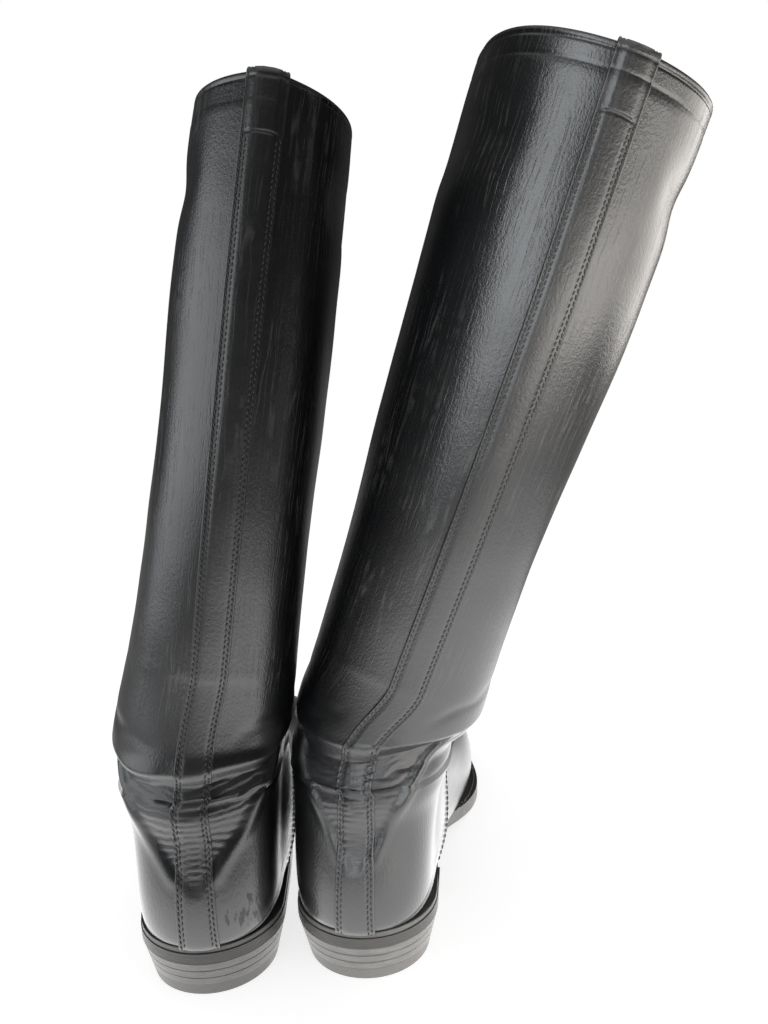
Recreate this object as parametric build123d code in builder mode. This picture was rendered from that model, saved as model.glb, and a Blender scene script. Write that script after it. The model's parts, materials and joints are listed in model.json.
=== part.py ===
"""A pair of tall pull-on riding boots, as the separate pieces they are lasted and stitched from.

Units are millimetres, +Z is up and the toes point to -Y. The frame's origin is the centre of the left
heel's underside, on the floor. The wearer's left is +X. Every foot piece is drawn for the left boot in that
boot's own frame and mirrored for the right one. The leg pieces are drawn upright, leaned about the ankle,
and cut clear of the foot so that the leg can flex.
"""

import os
from math import copysign, cos, pi, sin, tan, radians

from build123d import *

# ---- Sole stack, measured up from the floor at the heel ----
TOP_PIECE = 6.0
LIFT = 4.5
LIFT_COUNT = 3
SEAT = TOP_PIECE + LIFT_COUNT * LIFT  # underside of the outsole over the heel
OUTSOLE = 5.0
WELT = 3.0
INSOLE = 3.0
SOCK = 1.2
SLIP = 0.1  # air left between stacked pieces that don't share a flat face

# ---- Plan of the sole, toes to -Y, for the left boot (inner side is -X) ----
HEEL_RADIUS = 36.0
HEEL_BREAST = -34.0
BREAST_HOLLOW = 4.0
HEEL_TAPER = 5.0
TOE = (-9.0, -264.0)
OUTER_SIDE = [(30.5, -72.0), (50.5, -150.0), (36.0, -222.0)]
INNER_SIDE = [(-41.0, -228.0), (-48.0, -172.0), (-28.5, -78.0)]
TREAD_REAR = -150.0
TREAD_FRONT = -176.0
TOE_SPRING = 13.0
REACH = 150.0  # half size of a cutting block that passes every edge of the boot

# ---- Leather thicknesses ----
UPPER = 2.2
LINING = 1.2
STIFFENER = 1.6
STRAP = 1.8
FACING_THICK = 1.0
FOOT_LINING = UPPER + STIFFENER + 2 * SLIP  # depth of the lining's outer face in the foot
LEG_LINING = UPPER + SLIP  # and in the leg, where nothing stiffens the leather
FOOT_HOLLOW = FOOT_LINING + LINING
LEG_HOLLOW = LEG_LINING + LINING

# ---- Ankle joint, in the boot's own frame ----
ANKLE_Y = -30.0
ANKLE_Z = 105.0
FLEX_FORWARD = 15.0
FLEX_BACK = 10.0
FLEX_SPARE = 1.0
ANKLE_GAP = 0.6

# ---- Leg ----
RIM = 437.0
FACING = 26.0
STRAP_HALF_TOP = 9.5
STRAP_HALF_ANKLE = 8.5
STRAP_HALF_HEEL = 9.5
STRAP_FOLD = 24.0
STRAP_RISE = 1.6

# ---- Pull loops ----
LOOP_WIDTH = 24.0
LOOP_LENGTH = 32.0  # short enough for the two in one leg to pass each other
LOOP_WEB = 1.2
LOOP_GAP = 2.6
LOOP_DROP = 14.0  # from the rim to the seam where the loop is sewn in
LOOP_CLEAR = 1.5

# ---- Heel nails, in a horseshoe round the back of the heel ----
NAIL_RADIUS = 1.4
NAIL_RING = 24.0
NAIL_COUNT = 7
NAIL_TOP = SEAT - 2.0
NAIL_BOTTOM = 1.2
NAIL_FIT = 0.05

# ---- Bottom filling and shank ----
WELT_WIDTH = 8.0
SHANK_HALF = 6.5
SHANK_REAR = -8.0
SHANK_FRONT = -128.0
SHANK_THICK = 1.4

# ---- Foot upper, in side view as (y, z) ----
SEAM_LOW = (-24.0, 20.0)
SEAM_HIGH = (-92.0, 120.0)
SEAM_GAP = 0.3
COUNTER_TOP = 76.0
COUNTER_FRONT = -36.0
PUFF_REAR = -212.0

# Foot sections from above the ankle round the heel to the toe. Each runs from a back or bottom point to a
# front or top point, given as (y, z), with its sideways middle, its half width and where it is widest.
FOOT_SECTIONS = [
    ((22, 138), (-76, 138), 4, 42.5, 0.50),
    ((25, 107), (-84, 107), 3, 41.5, 0.46),
    ((31, 78), (-97, 93), 1.5, 37.5, 0.38),
    ((36, 50), (-108, 87), 0, 35.0, 0.28),
    ((36, 24), (-119, 81.5), 0, 34.0, 0.26),
    ((20, 13), (-130, 77), 0, 34.0, 0.28),
    ((-18, 8), (-142, 73), 0, 34.5, 0.32),
    ((-64, 1), (-156, 68), 1, 37.0, 0.35),
    ((-110, -7), (-172, 62.5), 2, 41.5, 0.37),
    ((-156, -12), (-191, 56.5), 1, 45.5, 0.37),
    ((-202, -8), (-214, 50), -2, 42.5, 0.37),
    ((-233, 0), (-238, 43), -5, 34.0, 0.40),
    ((-250, 6), (-253, 37), -7, 23.5, 0.45),
    ((-257.5, 11), (-259, 30), -8, 12.0, 0.50),
]
# Leg sections: height, back y, front y, how far the middle sits outwards, and half width.
LEG_SECTIONS = [
    (84, 26, -92, 3.0, 41.0),
    (120, 23, -82, 4.0, 42.5),
    (165, 27, -76, 2.5, 42.0),
    (240, 36, -82, 0.0, 41.5),
    (330, 41, -96, 0.0, 43.5),
    (400, 38, -107, 0.0, 43.5),
    (450, 36, -111, 0.0, 43.0),
]
ROUNDNESS = 2.3  # superellipse power of every section
QUARTER_STEPS = 2

# Where each boot stands and how far its toes turn. Then its leg: how far it leans sideways and backwards, its
# twist, how much wider its top has been pressed, and how far it has sunk into the folds at the ankle.
BOOTS = {
    "left": dict(place=(0, 0), turn=0, outer=1, lean=-8.8, back=-7.5, twist=4.0, widen=-7.0, sunk=20.0),
    "right": dict(place=(-78, -5), turn=-9, outer=-1, lean=-20.8, back=-1.5, twist=13.5, widen=11.0, sunk=0.0),
}
GIRTH_KEPT = 0.9  # how much of a widening comes off the front-to-back depth


def egg(back, front, middle, half_width, widest, inset):
    """A closed blunt egg in the plane of the X direction and the line from back to front."""
    back_point = Vector(0, *back)
    front_point = Vector(0, *front)
    along = (front_point - back_point).normalized()
    length = (front_point - back_point).length
    wide_point = back_point + along * (length * widest) + Vector(middle, 0, 0)
    plane = Plane(origin=wide_point, x_dir=(1, 0, 0), z_dir=Vector(1, 0, 0).cross(along))
    points = []
    for step in range(4 * QUARTER_STEPS + 1):
        angle = pi / 2 * step / QUARTER_STEPS
        side = copysign(abs(cos(angle)) ** (2 / ROUNDNESS), cos(angle))
        run = copysign(abs(sin(angle)) ** (2 / ROUNDNESS), sin(angle))
        reach = length * (1 - widest) if run > 0 else length * widest
        points.append((side * (half_width - inset), run * (reach - inset)))
    with BuildSketch(plane) as section:
        with BuildLine():
            for quarter in range(4):
                first = quarter * QUARTER_STEPS
                Spline(*points[first : first + QUARTER_STEPS + 1])
        make_face()
    return section.sketch


def foot_body(inset):
    """The closed foot form from above the ankle to the toe, inset from the upper's outer face."""
    sections = []
    last = len(FOOT_SECTIONS) - 1
    for index, (back, front, middle, half_width, widest) in enumerate(FOOT_SECTIONS):
        toe_cap = inset if index == last else 0
        pulled_back = (back[0] + toe_cap, back[1])
        pulled_front = (front[0] + toe_cap, front[1])
        sections.append(egg(pulled_back, pulled_front, middle, half_width, widest, inset))
    with BuildPart() as body:
        loft(sections)
    return body.part


def leg_width(height, boot):
    """How much wider than its pattern the leg stands at a height."""
    share = (height - ANKLE_Z) / (RIM - ANKLE_Z)
    return boot["widen"] * min(1, max(0, share))


def leg_body(inset, low, high, boot):
    """The upright leg form between two heights, inset from its outer face."""
    sections = []
    for height, back, front, middle, half_width in LEG_SECTIONS:
        wider = leg_width(height, boot)
        shallower = GIRTH_KEPT * wider
        rear = (back - shallower, height)
        fore = (front + shallower, height)
        sections.append(egg(rear, fore, middle * boot["outer"], half_width + wider, 0.5, inset))
    with BuildPart() as body:
        loft(sections)
        with Locations((0, 0, (low + high) / 2)):
            Box(2 * REACH, 2 * REACH, high - low, mode=Mode.INTERSECT)
    return body.part


def leg_shell(outer, inner, low, high, boot):
    """A wall of the leg between two insets and two heights."""
    outside = leg_body(outer, low, high, boot)
    inside = leg_body(inner, low - 1, high + 1, boot)
    with BuildPart() as wall:
        add(outside)
        add(inside, mode=Mode.SUBTRACT)
    return wall.part


def sole_outline(inset=0.0):
    """The sole's outline: a half-round heel and two curved sides that meet at the toe."""
    outer = [(HEEL_RADIUS - inset, 0)] + [(x - inset, y) for x, y in OUTER_SIDE]
    toe = (TOE[0], TOE[1] + inset)
    inner = [(x + inset, y) for x, y in INNER_SIDE] + [(inset - HEEL_RADIUS, 0)]
    with BuildSketch() as outline:
        with BuildLine():
            CenterArc((0, 0), HEEL_RADIUS - inset, 0, 180)
            Spline(*outer, toe, tangents=[(0, -1), (-1, 0)])
            Spline(toe, *inner, tangents=[(-1, 0), (0, 1)])
        make_face()
    return outline.sketch


def sole_line(rise):
    """The outsole's underside in side view, raised by rise, from behind the heel to past the toe."""
    rear = (HEEL_RADIUS + 10, SEAT + rise)
    breast = (HEEL_BREAST, SEAT + rise)
    front = (TOE[1] - 10, TOE_SPRING + rise)
    Line(rear, breast)
    Spline(breast, (TREAD_REAR, rise), tangents=[(-1, 0), (-1, 0)])
    Line((TREAD_REAR, rise), (TREAD_FRONT, rise))
    Spline((TREAD_FRONT, rise), front, tangents=[(-1, 0), (-1, 0.25)])
    return rear, front


def sole_band(low, high):
    """Everything between two heights above the outsole's underside, across the whole boot."""
    with BuildPart() as band:
        with BuildSketch(Plane.YZ):
            with BuildLine():
                low_rear, low_front = sole_line(low)
                high_rear, high_front = sole_line(high)
                Line(low_rear, high_rear)
                Line(low_front, high_front)
            make_face()
        extrude(amount=REACH, both=True)
    return band.part


def layer(low, high, inset, hollow_inset=None, rear=REACH, front=-2 * REACH):
    """A sole layer: the outline, less an inner outline, between two heights and two places along the foot."""
    band = sole_band(low, high)
    with BuildSketch() as plan:
        add(sole_outline(inset))
        if hollow_inset is not None:
            add(sole_outline(hollow_inset), mode=Mode.SUBTRACT)
        with Locations((0, (rear + front) / 2)):
            Rectangle(2 * REACH, rear - front, mode=Mode.INTERSECT)
    with BuildPart() as sheet:
        add(plan.sketch)
        extrude(amount=REACH)
        add(band, mode=Mode.INTERSECT)
    return sheet.part


def heel_outline(height):
    """The heel block's outline at a height: it tapers in towards the floor, and its breast is hollowed."""
    inset = HEEL_TAPER * (SEAT - height) / SEAT
    radius = HEEL_RADIUS - inset
    corner = radius - 1.5
    with BuildSketch(Plane.XY.offset(height)) as outline:
        with BuildLine():
            CenterArc((0, 0), radius, 0, 180)
            Line((radius, 0), (corner, HEEL_BREAST))
            ThreePointArc((corner, HEEL_BREAST), (0, HEEL_BREAST + BREAST_HOLLOW), (-corner, HEEL_BREAST))
            Line((-corner, HEEL_BREAST), (-radius, 0))
        make_face()
    return outline.sketch


def nail_set(radius, low, high):
    """Heel nails in a horseshoe round the back of the heel."""
    with BuildPart() as nails:
        with BuildSketch(Plane.XY.offset(low)):
            with PolarLocations(NAIL_RING, NAIL_COUNT, start_angle=-15, angular_range=210, endpoint=True):
                Circle(radius)
        extrude(amount=high - low)
    return nails.part


def heel_slice(low, high):
    """One horizontal layer of the heel block, drilled for the nails."""
    holes = nail_set(NAIL_RADIUS + NAIL_FIT, 0, NAIL_TOP)
    with BuildPart() as block:
        loft([heel_outline(low), heel_outline(high)], ruled=True)
        add(holes, mode=Mode.SUBTRACT)
    return block.part


def side_block(points):
    """A side view polygon in (y, z), extruded across the whole boot."""
    with BuildPart() as block:
        with BuildSketch(Plane.YZ):
            Polygon(*points, align=None)
        extrude(amount=REACH, both=True)
    return block.part


def back_block(points, low_y):
    """A rear view polygon in (x, z), extruded from low_y backwards past the boot."""
    with BuildPart() as block:
        with BuildSketch(Plane.XZ.offset(-low_y)):
            Polygon(*points, align=None)
        extrude(amount=-REACH)
    return block.part


FAR = 3 * REACH
LEG_LOW = LEG_SECTIONS[0][0]
ABOVE_ANKLE = [(FAR, ANKLE_Z - ANKLE_GAP), (-FAR, ANKLE_Z - ANKLE_GAP), (-FAR, FAR), (FAR, FAR)]
below_welt = sole_band(-REACH, OUTSOLE + WELT + SLIP)
above_ankle = side_block(ABOVE_ANKLE)


def foot_shell(outer, inner, region=None):
    """A wall of the foot between two insets, above the welt and below the ankle, within a region."""
    outside = foot_body(outer)
    inside = foot_body(inner)
    with BuildPart() as wall:
        add(outside)
        add(below_welt, mode=Mode.SUBTRACT)
        add(above_ankle, mode=Mode.SUBTRACT)
        if region is not None:
            add(region, mode=Mode.INTERSECT)
        add(inside, mode=Mode.SUBTRACT)
    return wall.part


# ---- Heel and sole ----
foot = {}
foot["heel_top_piece"] = heel_slice(0, TOP_PIECE)
for number in range(LIFT_COUNT):
    base = TOP_PIECE + number * LIFT
    foot[f"heel_lift_{number + 1}"] = heel_slice(base, base + LIFT)
foot["heel_nails"] = nail_set(NAIL_RADIUS, NAIL_BOTTOM, NAIL_TOP)
foot["outsole"] = layer(0, OUTSOLE, 0)
foot["heel_rand"] = layer(OUTSOLE, OUTSOLE + WELT, 0.4, WELT_WIDTH, front=HEEL_BREAST)
foot["welt"] = layer(OUTSOLE, OUTSOLE + WELT, 0, WELT_WIDTH, rear=HEEL_BREAST - SLIP)


FILLER_REAR = SHANK_FRONT - 2.0
foot["bottom_filler"] = layer(OUTSOLE, OUTSOLE + WELT, WELT_WIDTH + SLIP, rear=FILLER_REAR)
shank_low = OUTSOLE + (WELT - SHANK_THICK) / 2
shank_band = sole_band(shank_low, shank_low + SHANK_THICK)
with BuildPart() as shank:
    add(shank_band)
    with Locations((0, (SHANK_REAR + SHANK_FRONT) / 2, 0)):
        Box(2 * SHANK_HALF, SHANK_REAR - SHANK_FRONT, 4 * REACH, mode=Mode.INTERSECT)
foot["shank"] = shank.part

cavity = foot_body(FOOT_HOLLOW + SLIP)
boards = {"insole": (WELT + SLIP, INSOLE), "sock_liner": (WELT + INSOLE + 2 * SLIP, SOCK)}
for name, (low, thick) in boards.items():
    board_band = sole_band(OUTSOLE + low, OUTSOLE + low + thick)
    with BuildPart() as board:
        add(cavity)
        add(board_band, mode=Mode.INTERSECT)
    foot[name] = board.part


# ---- Foot upper: vamp in front, quarter behind, meeting at a sloping side seam ----
behind_seam = [SEAM_LOW, SEAM_HIGH, (SEAM_HIGH[0], FAR), (FAR, FAR), (FAR, -REACH), (SEAM_LOW[0], -REACH)]
before_seam = [(y - SEAM_GAP if y < 0 else -FAR, z) for y, z in behind_seam]
counter_area = [(COUNTER_FRONT, 0), (COUNTER_FRONT + 12, COUNTER_TOP), (FAR, COUNTER_TOP), (FAR, 0)]
puff_area = [(PUFF_REAR, -REACH), (PUFF_REAR, FAR), (-FAR, FAR), (-FAR, -REACH)]
stay_area = [
    (-STRAP_HALF_HEEL, SEAT),
    (-STRAP_HALF_ANKLE, ANKLE_Z),
    (STRAP_HALF_ANKLE, ANKLE_Z),
    (STRAP_HALF_HEEL, SEAT),
]
stiffener_out = UPPER + SLIP
stiffener_in = stiffener_out + STIFFENER
foot["quarter"] = foot_shell(0, UPPER, side_block(behind_seam))
foot["vamp"] = foot_shell(0, UPPER, side_block(before_seam))
foot["heel_counter"] = foot_shell(stiffener_out, stiffener_in, side_block(counter_area))
foot["toe_puff"] = foot_shell(stiffener_out, stiffener_in, side_block(puff_area))
foot["foot_lining"] = foot_shell(FOOT_LINING, FOOT_HOLLOW)
foot["heel_strap"] = foot_shell(-STRAP - SLIP, -SLIP, back_block(stay_area, 0))


# ---- Leg, drawn upright ----
def back_strap(rim, boot):
    """The strap down the back of the leg, over the rim and a little way down the inside."""
    inner_face = LEG_HOLLOW + SLIP
    above = rim + STRAP_FOLD
    shape = [
        (-STRAP_HALF_ANKLE, ANKLE_Z),
        (-STRAP_HALF_TOP, above),
        (STRAP_HALF_TOP, above),
        (STRAP_HALF_ANKLE, ANKLE_Z),
    ]
    sheet = leg_shell(-STRAP - SLIP, inner_face + STRAP, LEG_LOW, rim + SLIP + STRAP_RISE, boot)
    wall = leg_shell(-SLIP, inner_face, 0, rim + SLIP, boot)
    below_fold = leg_body(inner_face, 0, rim - STRAP_FOLD, boot)
    region = back_block(shape, ANKLE_Y)
    with BuildPart() as strap:
        add(sheet)
        add(region, mode=Mode.INTERSECT)
        add(wall, mode=Mode.SUBTRACT)
        add(below_fold, mode=Mode.SUBTRACT)
    return strap.part


def top_facing(rim, boot):
    """The strip of leather that faces the top of the lining, with its ends butted to the back strap."""
    sheet = leg_shell(LEG_HOLLOW + SLIP, LEG_HOLLOW + SLIP + FACING_THICK, rim - FACING, rim, boot)
    half = STRAP_HALF_TOP + SLIP
    behind = back_block([(-half, 0), (-half, 2 * rim), (half, 2 * rim), (half, 0)], ANKLE_Y)
    with BuildPart() as facing:
        add(sheet)
        add(behind, mode=Mode.SUBTRACT)
    return facing.part


def pull_loop(rim, side, boot):
    """A webbing loop hanging inside the leg, flat to the wall, closed in a bend at the bottom."""
    top = rim - LOOP_DROP
    back, front, _, half_width = LEG_SECTIONS[-2][1:]
    wider = min(leg_width(top, boot), leg_width(top - LOOP_LENGTH, boot))
    half = LOOP_WEB + LOOP_GAP / 2
    centre = side * (half_width + wider - LEG_HOLLOW - FACING_THICK - LOOP_CLEAR - half)
    straight = LOOP_LENGTH - half
    with BuildPart() as loop:
        with BuildSketch(Plane.XZ.offset(-(back + front) / 2)):
            with Locations((centre, top)):
                Rectangle(2 * half, straight, align=(Align.CENTER, Align.MAX))
            with Locations((centre, top - straight)):
                Circle(half)
                Circle(LOOP_GAP / 2, mode=Mode.SUBTRACT)
            with Locations((centre, top - 2 * LOOP_WEB)):
                gap_size = (LOOP_GAP, straight - 2 * LOOP_WEB)
                Rectangle(*gap_size, align=(Align.CENTER, Align.MAX), mode=Mode.SUBTRACT)
        extrude(amount=LOOP_WIDTH / 2, both=True)
    return loop.part


def leg_pieces(boot):
    """The leg's pieces, upright, for one boot."""
    rim = RIM - boot["sunk"]
    return {
        "leg_leather": leg_shell(0, UPPER, LEG_LOW, rim, boot),
        "leg_lining": leg_shell(LEG_LINING, LEG_HOLLOW, LEG_LOW, rim, boot),
        "top_facing": top_facing(rim, boot),
        "back_strap": back_strap(rim, boot),
        "inner_pull_loop": pull_loop(rim, -boot["outer"], boot),
        "outer_pull_loop": pull_loop(rim, boot["outer"], boot),
    }


def leaned(piece, boot):
    """A leg piece twisted and leaned about the middle of the ankle."""
    pivot = Location((0, ANKLE_Y, ANKLE_Z))
    lean = Location((0, 0, 0), (-boot["back"], boot["lean"], 0))
    twist = Location((0, 0, 0), (0, 0, boot["twist"]))
    return piece.moved(pivot * lean * twist * pivot.inverse())


# The leg's lower end rises forwards and backwards from the ankle's axis, which leaves the leg room to flex.
rise_back = (FAR - ANKLE_Y) * tan(radians(FLEX_BACK + FLEX_SPARE))
rise_front = (FAR + ANKLE_Y) * tan(radians(FLEX_FORWARD + FLEX_SPARE))
leg_foot_line = ANKLE_Z + ANKLE_GAP
flex_room = side_block(
    [
        (ANKLE_Y, leg_foot_line),
        (FAR, leg_foot_line + rise_back),
        (FAR, -FAR),
        (-FAR, -FAR),
        (-FAR, leg_foot_line + rise_front),
    ]
)


def write(piece, boot, name):
    """One STEP file for one piece, moved to where its boot stands."""
    placed = piece.moved(Location((*boot["place"], 0), (0, 0, boot["turn"])))
    placed.label = name
    export_step(placed, f"parts/{name}.step")


os.makedirs("parts", exist_ok=True)
for side, boot in BOOTS.items():
    for name, piece in foot.items():
        with BuildPart() as finished:
            if side == "left":
                add(piece)
            else:
                mirror(piece, about=Plane.YZ)
        write(finished.part, boot, f"{side}_{name}")
    for name, piece in leg_pieces(boot).items():
        standing = leaned(piece, boot)
        with BuildPart() as finished:
            add(standing)
            if "loop" not in name:
                add(flex_room, mode=Mode.SUBTRACT)
        write(finished.part, boot, f"{side}_{name}")
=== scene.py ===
"""The looks of a pair of tall pull-on riding boots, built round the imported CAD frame.

Lengths are named in millimetres and turned into metres where they are used. Each boot's upper is one skin,
sampled from the CAD pieces along a spine from the rim through the ankle to the toe. The folds move the skin's
points along its normals. The strap, lining, facing and stitches are laid on the folded skin.
"""

import copy
import json
import math

import bmesh
import bpy
import numpy as np
from mathutils import Matrix, Vector, noise
from mathutils.bvhtree import BVHTree

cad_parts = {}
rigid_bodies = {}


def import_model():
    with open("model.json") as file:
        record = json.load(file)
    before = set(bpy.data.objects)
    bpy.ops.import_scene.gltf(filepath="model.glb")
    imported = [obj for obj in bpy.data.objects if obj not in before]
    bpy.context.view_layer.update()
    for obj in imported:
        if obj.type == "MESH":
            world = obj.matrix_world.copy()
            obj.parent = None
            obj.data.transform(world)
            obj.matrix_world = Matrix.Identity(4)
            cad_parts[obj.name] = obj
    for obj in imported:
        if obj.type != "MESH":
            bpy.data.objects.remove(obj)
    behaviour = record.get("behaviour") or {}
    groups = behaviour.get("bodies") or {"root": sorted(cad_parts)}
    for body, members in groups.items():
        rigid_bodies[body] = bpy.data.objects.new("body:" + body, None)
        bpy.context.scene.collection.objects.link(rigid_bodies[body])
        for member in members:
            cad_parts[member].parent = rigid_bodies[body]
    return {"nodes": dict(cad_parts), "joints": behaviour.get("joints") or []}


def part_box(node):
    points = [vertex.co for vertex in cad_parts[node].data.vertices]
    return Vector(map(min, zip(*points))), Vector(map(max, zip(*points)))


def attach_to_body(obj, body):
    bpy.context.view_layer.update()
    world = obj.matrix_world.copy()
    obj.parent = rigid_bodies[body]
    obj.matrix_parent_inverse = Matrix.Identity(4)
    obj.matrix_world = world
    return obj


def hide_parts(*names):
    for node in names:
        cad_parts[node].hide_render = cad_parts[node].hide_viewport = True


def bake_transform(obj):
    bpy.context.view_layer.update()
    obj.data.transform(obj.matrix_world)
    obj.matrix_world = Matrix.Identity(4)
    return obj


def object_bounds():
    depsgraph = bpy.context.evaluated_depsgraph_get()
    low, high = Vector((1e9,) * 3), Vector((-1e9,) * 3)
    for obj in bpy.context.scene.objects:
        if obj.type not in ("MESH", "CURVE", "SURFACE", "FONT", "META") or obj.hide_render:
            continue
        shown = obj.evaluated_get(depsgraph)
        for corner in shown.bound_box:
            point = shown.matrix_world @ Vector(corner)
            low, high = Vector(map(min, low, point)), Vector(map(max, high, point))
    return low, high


MM = 0.001
UPRIGHT = Vector((0, 0, 1))
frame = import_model()
CAD_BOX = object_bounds()

# ---- Leather, in millimetres ----
LEATHER = 2.2
LINING_OUT = 2.3
LINING_IN = 3.5
FACING_OUT = LINING_IN + 0.1
FACING_IN = 4.6
FACING_DEPTH = 26.0
CUT_EDGE = 1.6  # how deep the cut edge of the leather shows at a seam
SEAM_RISE = 1.0  # how far the leg and quarter stand up where they lap over the vamp
SEAM_FADE = 5.0

# ---- Back strap ----
STRAP_THICK = 1.8
STRAP_HALF_TOP = 9.5
STRAP_HALF_ANKLE = 8.5
STRAP_HALF_HEEL = 9.5
STRAP_FOLD = 24.0  # how far it reaches down inside the leg
STRAP_FOOT = 20.0  # the height above which it narrows towards the ankle
TAB_LENGTH = 28.0  # a crease crosses the strap this far below the rim
TAB_THICK = 0.25
ROW_ONE = 1.5  # the two stitch rows along each of the strap's edges, measured in from the edge
ROW_TWO = 3.1
STITCH_GROOVE = 0.35
STRAP_PITCH = 2.7
SEAM_PITCH = 2.8
SEAM_ROWS = (2.6, 4.6)  # how far behind the seam
WELT_PITCH = 3.6
# A stitch is an arch that starts and ends in a hole: how far along it, how thick, and how high, as shares.
STITCH_ARCH = [(-0.5, 0.0, -0.35), (-0.4, 0.75, 0.1), (0.0, 1.0, 0.32), (0.4, 0.75, 0.1), (0.5, 0.0, -0.35)]
STITCH_SIDES = 6
WELT_INSET = 3.0
WELT_END = -40.0  # the welt's stitches start ahead of this

# ---- Where the skin is sampled ----
RAY_REACH = 130.0 * MM
RAYS = 720
RIM_INSET = 0.3  # the first ring is sampled this far below the rim, and moved up to it
COLUMNS = 288
DOME_STEPS = 14  # rings that turn over the toe
DOME_TURN = 88.0  # degrees, how far they turn in all
ANKLE_TOP = 150.0  # above this the skin follows the leg, and below ANKLE_LOW the foot
ANKLE_LOW = 92.0
ANKLE_JOINT = 105.0
ANKLE_AHEAD = 30.0  # how far the joint lies ahead of the boot's own origin
# The spine through the foot in the boot's own side view: y, z, the ring's tilt in degrees, and its x (inner
# side negative). The last ring sits on the welt, and the toe is domed from there.
SPINE = [
    (-30, 100, 0, 2),
    (-34, 76, 8, 1),
    (-41, 55, 19, 0),
    (-55, 47, 23, 0),
    (-80, 41, 28, 0),
    (-110, 35, 36, 1),
    (-141, 29, 48, 1),
    (-173, 25, 63, 0),
    (-205, 22, 76, -3),
    (-231, 18.5, 86, -6),
]

# ---- Folds at the ankle ----
FOLD_HEIGHT = {"left": 107.0, "right": 113.0}
FOLD_AT_STRAP = {"left": 0.45, "right": 1.0}  # how strong the fold still is where it crosses the strap
VEE_FOOT = {"left": 50.0, "right": 53.0}  # where the two sides of the folded V would meet behind the heel
VEE_SLOPE = {"left": 1.15, "right": 1.5}
FOLD_OUT = 3.0
FOLD_IN = 3.8
WRINKLE = 0.55
WRINKLE_PITCH = 2.9
RIDGE = 0.75

# ---- Top of the leg ----
RIM_GROOVE = (3.0, 0.5)  # how far below the rim it is, and how deep it is pressed in
TOP_LINE = (11.0, 0.22)  # the same for the line on the right boot only, and for the sag
SAG = (44.0, 2.0)

# ---- Side seam in the boot's own side view, and the seam across the instep ----
SEAM_LOW = (-24.0, 20.0)
SEAM_HIGH = (-92.0, 120.0)
INSTEP_SEAM = 104.5
SEAM_HEIGHTS = (24.0, 160.0)  # open edges outside these heights are the welt's or the rim's

# ---- Black scuff marks on the left boot's counter ----
SCUFF_SIDE = -22.0
SCUFF_HEIGHT = 42.0
SCUFF_WIDE = 9.0
SCUFF_TALL = 8.0

# ---- Webbing of the pull loops ----
WEB = 1.2
# The band's outline, as shares of its width and thickness, with a shallow groove inside both edges.
WEB_SECTION = [
    (-0.5, 0.25), (-0.485, 0.5), (-0.44, 0.42), (-0.4, 0.5), (0.4, 0.5), (0.44, 0.42), (0.485, 0.5),
    (0.5, 0.25), (0.5, -0.25), (0.485, -0.5), (-0.485, -0.5), (-0.5, -0.25), (-0.5, 0.25),
]

# ---- Room ----
FLOOR_HALF = 6.0  # metres
FLOOR_GLOW = 0.75  # the floor shines a little itself, so that it stays as white as the room behind it
FLOOR_MIRRORED = 0.1  # how bright the leather mirrors it far from the boots, a painted glow that only the mirror sees
FLOOR_PAINTED_POOL = 2.4  # and how much brighter near them, where a painted glowing pool stands in for lit floor
ROOM_LIGHT = 0.55  # how bright the room is as light, as the leather mirrors it and as the camera sees it
ROOM_MIRRORED = 0.05
ROOM_SEEN = 1.0
COOL = (0.93, 0.97, 1.0)
WARM = (1.0, 0.96, 0.91)
CAMERA_PLACE = (-0.090, 0.396, 0.290)  # metres
CAMERA_YAW = -0.65  # degrees from looking straight along the boots
CAMERA_DOWN = 9.5
CAMERA_ROLL = -2.4


def smooth(value):
    """A soft step from 0 to 1."""
    value = np.clip(value, 0, 1)
    return value * value * (3 - 2 * value)


def grain(points, size, seed=0.0):
    """Smooth noise between -1 and 1 at each point, with features of about the given size in metres."""
    shift = Vector((seed, 2.3 * seed, -1.7 * seed))
    return np.array([noise.noise(Vector(p) / size + shift) for p in points])


# ---------------------------------------------------------------- materials
class Nodes:
    """A node tree, with short calls for nodes."""

    def __init__(self, tree):
        self.tree = tree

    def feed(self, socket, value):
        """Links a node's output to a socket, or sets a plain value."""
        if isinstance(value, bpy.types.NodeSocket):
            self.tree.links.new(value, socket)
        elif socket.type == "RGBA":
            socket.default_value = (*value, 1)
        else:
            socket.default_value = value

    def node(self, kind, inputs=None, **settings):
        """One shader node with its settings and inputs."""
        made = self.tree.nodes.new(kind)
        for key, value in settings.items():
            setattr(made, key, value)
        for key, value in (inputs or {}).items():
            self.feed(made.inputs[key], value)
        return made

    def calc(self, operation, first, second=0.0, third=0.0):
        """A sum, product or other calculation on values."""
        return self.node("ShaderNodeMath", {0: first, 1: second, 2: third}, operation=operation).outputs[0]


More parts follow.
